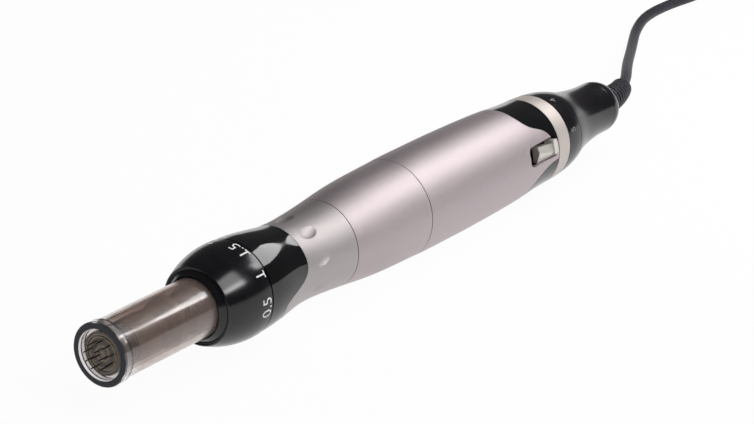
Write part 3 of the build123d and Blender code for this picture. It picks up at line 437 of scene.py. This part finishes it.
def coil_points():
    """Control points of the layers of turns, which spiral in and out, with a climb between two layers."""
    middle_x, middle_y = COIL_CENTRE
    points = []
    radius, height, done = COIL_OUTER, CORD_RADIUS, 0.0
    for layer in range(COIL_LAYERS):
        way = -1 if layer % 2 == 0 else 1
        turns = COIL_FIRST_TURNS if layer == 0 else COIL_LAYER_TURNS
        for climbs, length in ((False, turns), (True, COIL_CLIMB)):
            if climbs and layer == COIL_LAYERS - 1:
                continue
            steps = round(POINTS_PER_TURN * length)
            for step in range(steps):
                part = step / steps
                far = radius + way * COIL_PITCH * length * part
                high = height
                if climbs:
                    far = radius + way * COIL_PITCH * length * part * (1 - part)
                    high = height + COIL_PITCH * part * part * (3 - 2 * part)
                turn = math.pi / 2 - 2 * math.pi * (done + length * part)
                far /= math.cos(math.pi / POINTS_PER_TURN)
                points.append((middle_x + far * math.cos(turn), middle_y + far * math.sin(turn), high))
            if climbs:
                height += COIL_PITCH
            else:
                radius += way * COIL_PITCH * length
            done += length
    return points


def cord_curve():
    """The whole cord as one smooth curve."""
    curve = bpy.data.curves.new("cord", "CURVE")
    curve.dimensions = "3D"
    curve.bevel_depth = CORD_RADIUS * MM
    curve.bevel_resolution = 5
    curve.use_fill_caps = True
    curve.resolution_u = 6
    spline = curve.splines.new("NURBS")
    points = list(LEAD_POINTS) + coil_points() + list(PLUG_POINTS)
    spline.points.add(len(points) - 1)
    for slot, (x, y, height) in zip(spline.points, points):
        slot.co = (*place(x, y, height - R), 1)
    spline.order_u = 3
    spline.use_endpoint_u = True
    obj = bpy.data.objects.new("cord", curve)
    bpy.context.scene.collection.objects.link(obj)
    curve.materials.append(CORD)
    return obj


cord = cord_curve()
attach(cord, "pen_body")
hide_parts("cord_lead", "cord_coil", "plug_lead")

# Printed numerals and marks, wrapped on the skin that they are printed on
PRINT_LIFT = 0.02
STRIP = 0.3
CAP_HEIGHT_SHARE = 0.73
FIGURE_STEM = 0.34
FOOT_WIDTH = 1.5
FOOT_THICKNESS = 0.3
FOOT_REACH = 0.4
OUTSIDE = 30.0
DEPTH_STATION = 39.4
DEPTH_HEIGHT = 2.75
DEPTH_STEP = 37.5
DEPTH_ZERO = -132.0
SPEED_STATION = 152.7
SPEED_HEIGHT = 1.9
SPEED_STEP = -49.0
SPEED_FIRST = 126.0
INDEX_STATION = 42.8
INDEX_ANGLE = 18.0
INDEX_SIZE = (0.5, 1.8)


def skin_radius(piece, x, angle):
    """Radius of a piece's outer skin at a station and angle."""
    start = around(x, OUTSIDE, angle)
    inward = around(x, 0.0, angle) - start
    back = piece.matrix_world.inverted()
    hit, point, _, _ = piece.ray_cast(back @ start, (back.to_3x3() @ inward).normalized())
    if not hit:
        return None
    flat = piece.matrix_world @ point
    return math.hypot(flat.y, flat.z - R * MM) / MM


def glyph_mesh(text, height, weight):
    """Flat outline of a text in millimetres."""
    curve = bpy.data.curves.new("glyph", "FONT")
    curve.body = text
    curve.size = height / CAP_HEIGHT_SHARE
    curve.offset = weight
    curve.align_x = "CENTER"
    curve.align_y = "CENTER"
    holder = bpy.data.objects.new("glyph", curve)
    bpy.context.scene.collection.objects.link(holder)
    graph = bpy.context.evaluated_depsgraph_get()
    mesh = bpy.data.meshes.new_from_object(holder.evaluated_get(graph))
    bpy.data.objects.remove(holder)
    return mesh


def cut_and_wrap(mesh, piece, x, angle, material, name, body):
    """Wrap a flat mesh round the pen: its up points to the tip, its right follows the angle."""
    cells = bmesh.new()
    cells.from_mesh(mesh)
    for axis in (0, 1):
        low = min(v.co[axis] for v in cells.verts)
        high = max(v.co[axis] for v in cells.verts)
        count = int((high - low) / STRIP)
        for index in range(1, count + 1):
            where = [0.0, 0.0, 0.0]
            where[axis] = low + index * STRIP
            along = [0.0, 0.0, 0.0]
            along[axis] = 1.0
            geometry = cells.verts[:] + cells.edges[:] + cells.faces[:]
            bmesh.ops.bisect_plane(cells, geom=geometry, plane_co=where, plane_no=along)
    middle = skin_radius(piece, x, angle)
    for vert in cells.verts:
        station = x - vert.co.y
        turn = angle + math.degrees(vert.co.x / middle)
        out = skin_radius(piece, station, turn) or middle
        vert.co = around(station, out + PRINT_LIFT, turn)
    cells.to_mesh(mesh)
    cells.free()
    mesh.name = name
    obj = bpy.data.objects.new(name, mesh)
    bpy.context.scene.collection.objects.link(obj)
    mesh.materials.clear()
    mesh.materials.append(material)
    for face in mesh.polygons:
        face.use_smooth = True
    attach(obj, body)
    return obj


def add_foot(mesh):
    """Give the figure 1 at the start of a numeral the foot that it stands on."""
    cells = bmesh.new()
    cells.from_mesh(mesh)
    low = min(v.co.y for v in cells.verts)
    base = [v.co.x for v in cells.verts if v.co.y < low + FOOT_REACH]
    left = min(base) + FIGURE_STEM / 2 - FOOT_WIDTH / 2
    right_end = left + FOOT_WIDTH
    top = low + FOOT_THICKNESS
    foot = [(left, low), (right_end, low), (right_end, top), (left, top)]
    cells.faces.new([cells.verts.new((x, y, 0)) for x, y in foot])
    cells.to_mesh(mesh)
    cells.free()


def patch_mesh(width, length):
    """A small flat rectangle, width round the pen and length along it."""
    mesh = bpy.data.meshes.new("patch")
    w, h = width / 2, length / 2
    mesh.from_pydata([(-w, -h, 0), (w, -h, 0), (w, h, 0), (-w, h, 0)], [], [(0, 1, 2, 3)])
    return mesh


depth_dial = NODES["depth_dial"]
for index, text in enumerate(("0", "0.5", "1", "1.5", "2", "2.5")):
    mesh = glyph_mesh(text, DEPTH_HEIGHT, -0.01)
    if text.startswith("1"):
        add_foot(mesh)
    angle = DEPTH_ZERO + DEPTH_STEP * index
    name = "depth_numeral_%d" % index
    cut_and_wrap(mesh, depth_dial, DEPTH_STATION, angle, PRINT, name, "depth_ring")

speed_dial = NODES["speed_dial"]
for index in range(5):
    figure = index + 1
    mesh = glyph_mesh(str(figure), SPEED_HEIGHT, 0.0)
    angle = SPEED_FIRST + SPEED_STEP * index
    name = "speed_numeral_%d" % figure
    cut_and_wrap(mesh, speed_dial, SPEED_STATION, angle, FAINT_PRINT, name, "speed_control")

index_mark = patch_mesh(*INDEX_SIZE)
cut_and_wrap(index_mark, NODES["index_band"], INDEX_STATION, INDEX_ANGLE, PRINT, "depth_index", "pen_body")

# Floor, lights and background
FLOOR_HALF = 4
FLOOR_GLOW_SHARE = 0.96

floor = bpy.data.objects.new("floor", patch_mesh(2 * FLOOR_HALF, 2 * FLOOR_HALF))
bpy.context.scene.collection.objects.link(floor)
floor_material, floor_shader, floor_tree = new_material("floor_white")
floor_shader.inputs["Base Color"].default_value = (0.80, 0.80, 0.81, 1)
floor_shader.inputs["Roughness"].default_value = 0.8
path = node(floor_tree, "ShaderNodeLightPath")
seen = node(floor_tree, "ShaderNodeMath", operation="MAXIMUM")
floor_tree.links.new(path.outputs["Is Camera Ray"], seen.inputs[0])
floor_tree.links.new(path.outputs["Is Glossy Ray"], seen.inputs[1])
seen_too = node(floor_tree, "ShaderNodeMath", operation="MAXIMUM")
floor_tree.links.new(seen.outputs["Value"], seen_too.inputs[0])
floor_tree.links.new(path.outputs["Is Transmission Ray"], seen_too.inputs[1])
paper = node(floor_tree, "ShaderNodeEmission", Strength=1.0)
paper.inputs["Color"].default_value = (1, 1, 1, 1)
faint = node(floor_tree, "ShaderNodeMixShader", Fac=FLOOR_GLOW_SHARE)
floor_tree.links.new(floor_shader.outputs["BSDF"], faint.inputs[1])
floor_tree.links.new(paper.outputs["Emission"], faint.inputs[2])
choice = node(floor_tree, "ShaderNodeMixShader")
floor_tree.links.new(seen_too.outputs["Value"], choice.inputs["Fac"])
floor_tree.links.new(floor_shader.outputs["BSDF"], choice.inputs[1])
floor_tree.links.new(faint.outputs["Shader"], choice.inputs[2])
floor_tree.links.new(choice.outputs["Shader"], floor_tree.nodes["Material Output"].inputs["Surface"])
floor.data.materials.append(floor_material)

world = bpy.data.worlds.new("studio")
bpy.context.scene.world = world
world.use_nodes = True
sky = world.node_tree
background = sky.nodes["Background"]
background.inputs["Color"].default_value = (1, 1, 1, 1)


def sky_range(source, low, high, to_low, to_high):
    """Smooth step of a value from one range into another."""
    step = node(sky, "ShaderNodeMapRange", interpolation_type="SMOOTHSTEP")
    step.inputs["From Min"].default_value = low
    step.inputs["From Max"].default_value = high
    step.inputs["To Min"].default_value = to_low
    step.inputs["To Max"].default_value = to_high
    sky.links.new(source, step.inputs["Value"])
    return step.outputs["Result"]


# A dark studio with a white backdrop that rises behind the pen, on the far side
direction = node(sky, "ShaderNodeTexCoord")
backdrop = node(sky, "ShaderNodeVectorMath", operation="DOT_PRODUCT")
backdrop.inputs[1].default_value = (0.766, 0.643, 0.0)
sky.links.new(direction.outputs["Generated"], backdrop.inputs[0])
height = node(sky, "ShaderNodeSeparateXYZ")
sky.links.new(direction.outputs["Generated"], height.inputs["Vector"])
behind = sky_range(backdrop.outputs["Value"], 0.45, 0.8, 0.0, 1.0)
low = sky_range(height.outputs["Z"], 0.0, 0.21, 1.0, 0.0)
glow = node(sky, "ShaderNodeMath", operation="MULTIPLY")
sky.links.new(behind, glow.inputs[0])
sky.links.new(low, glow.inputs[1])
strength = sky_range(glow.outputs["Value"], 0.0, 1.0, 0.10, 1.25)
sky.links.new(strength, background.inputs["Strength"])


def lamp(name, station, azimuth, elevation, distance, size, radiance, shape="RECTANGLE", mirrored=True):
    """A soft lamp placed by its direction from a station; its power follows from its radiance."""
    light = bpy.data.lights.new(name, "AREA")
    light.shape = shape
    light.size, light.size_y = size
    face = size[0] * size[1] * (math.pi / 4 if shape == "ELLIPSE" else 1.0)
    light.energy = radiance * math.pi * face
    obj = bpy.data.objects.new(name, light)
    bpy.context.scene.collection.objects.link(obj)
    turn, rise = math.radians(azimuth), math.radians(elevation)
    way = Vector((math.cos(rise) * math.cos(turn), math.cos(rise) * math.sin(turn), math.sin(rise)))
    obj.location = place(station, 0, 0) + way * distance
    obj.rotation_euler = (-way).to_track_quat("-Z", "Y").to_euler()
    obj.visible_glossy = mirrored
    return obj


lamp("round_softbox", 45, -15, 36, 0.33, (0.22, 0.10), 6.0, "ELLIPSE")
lamp("square_softbox", 35, -80, 47, 1.0, (0.48, 0.60), 4.4)
lamp("square_softbox_low", 35, -80, 34, 0.95, (0.44, 0.16), 7.5)
lamp("strip", 25, -31, 37.5, 0.5, (0.05, 0.10), 4.3)
lamp("fill", 95, 40, 70, 1.5, (1.4, 1.4), 1.0, mirrored=False)

bpy.context.scene.view_settings.view_transform = "Standard"
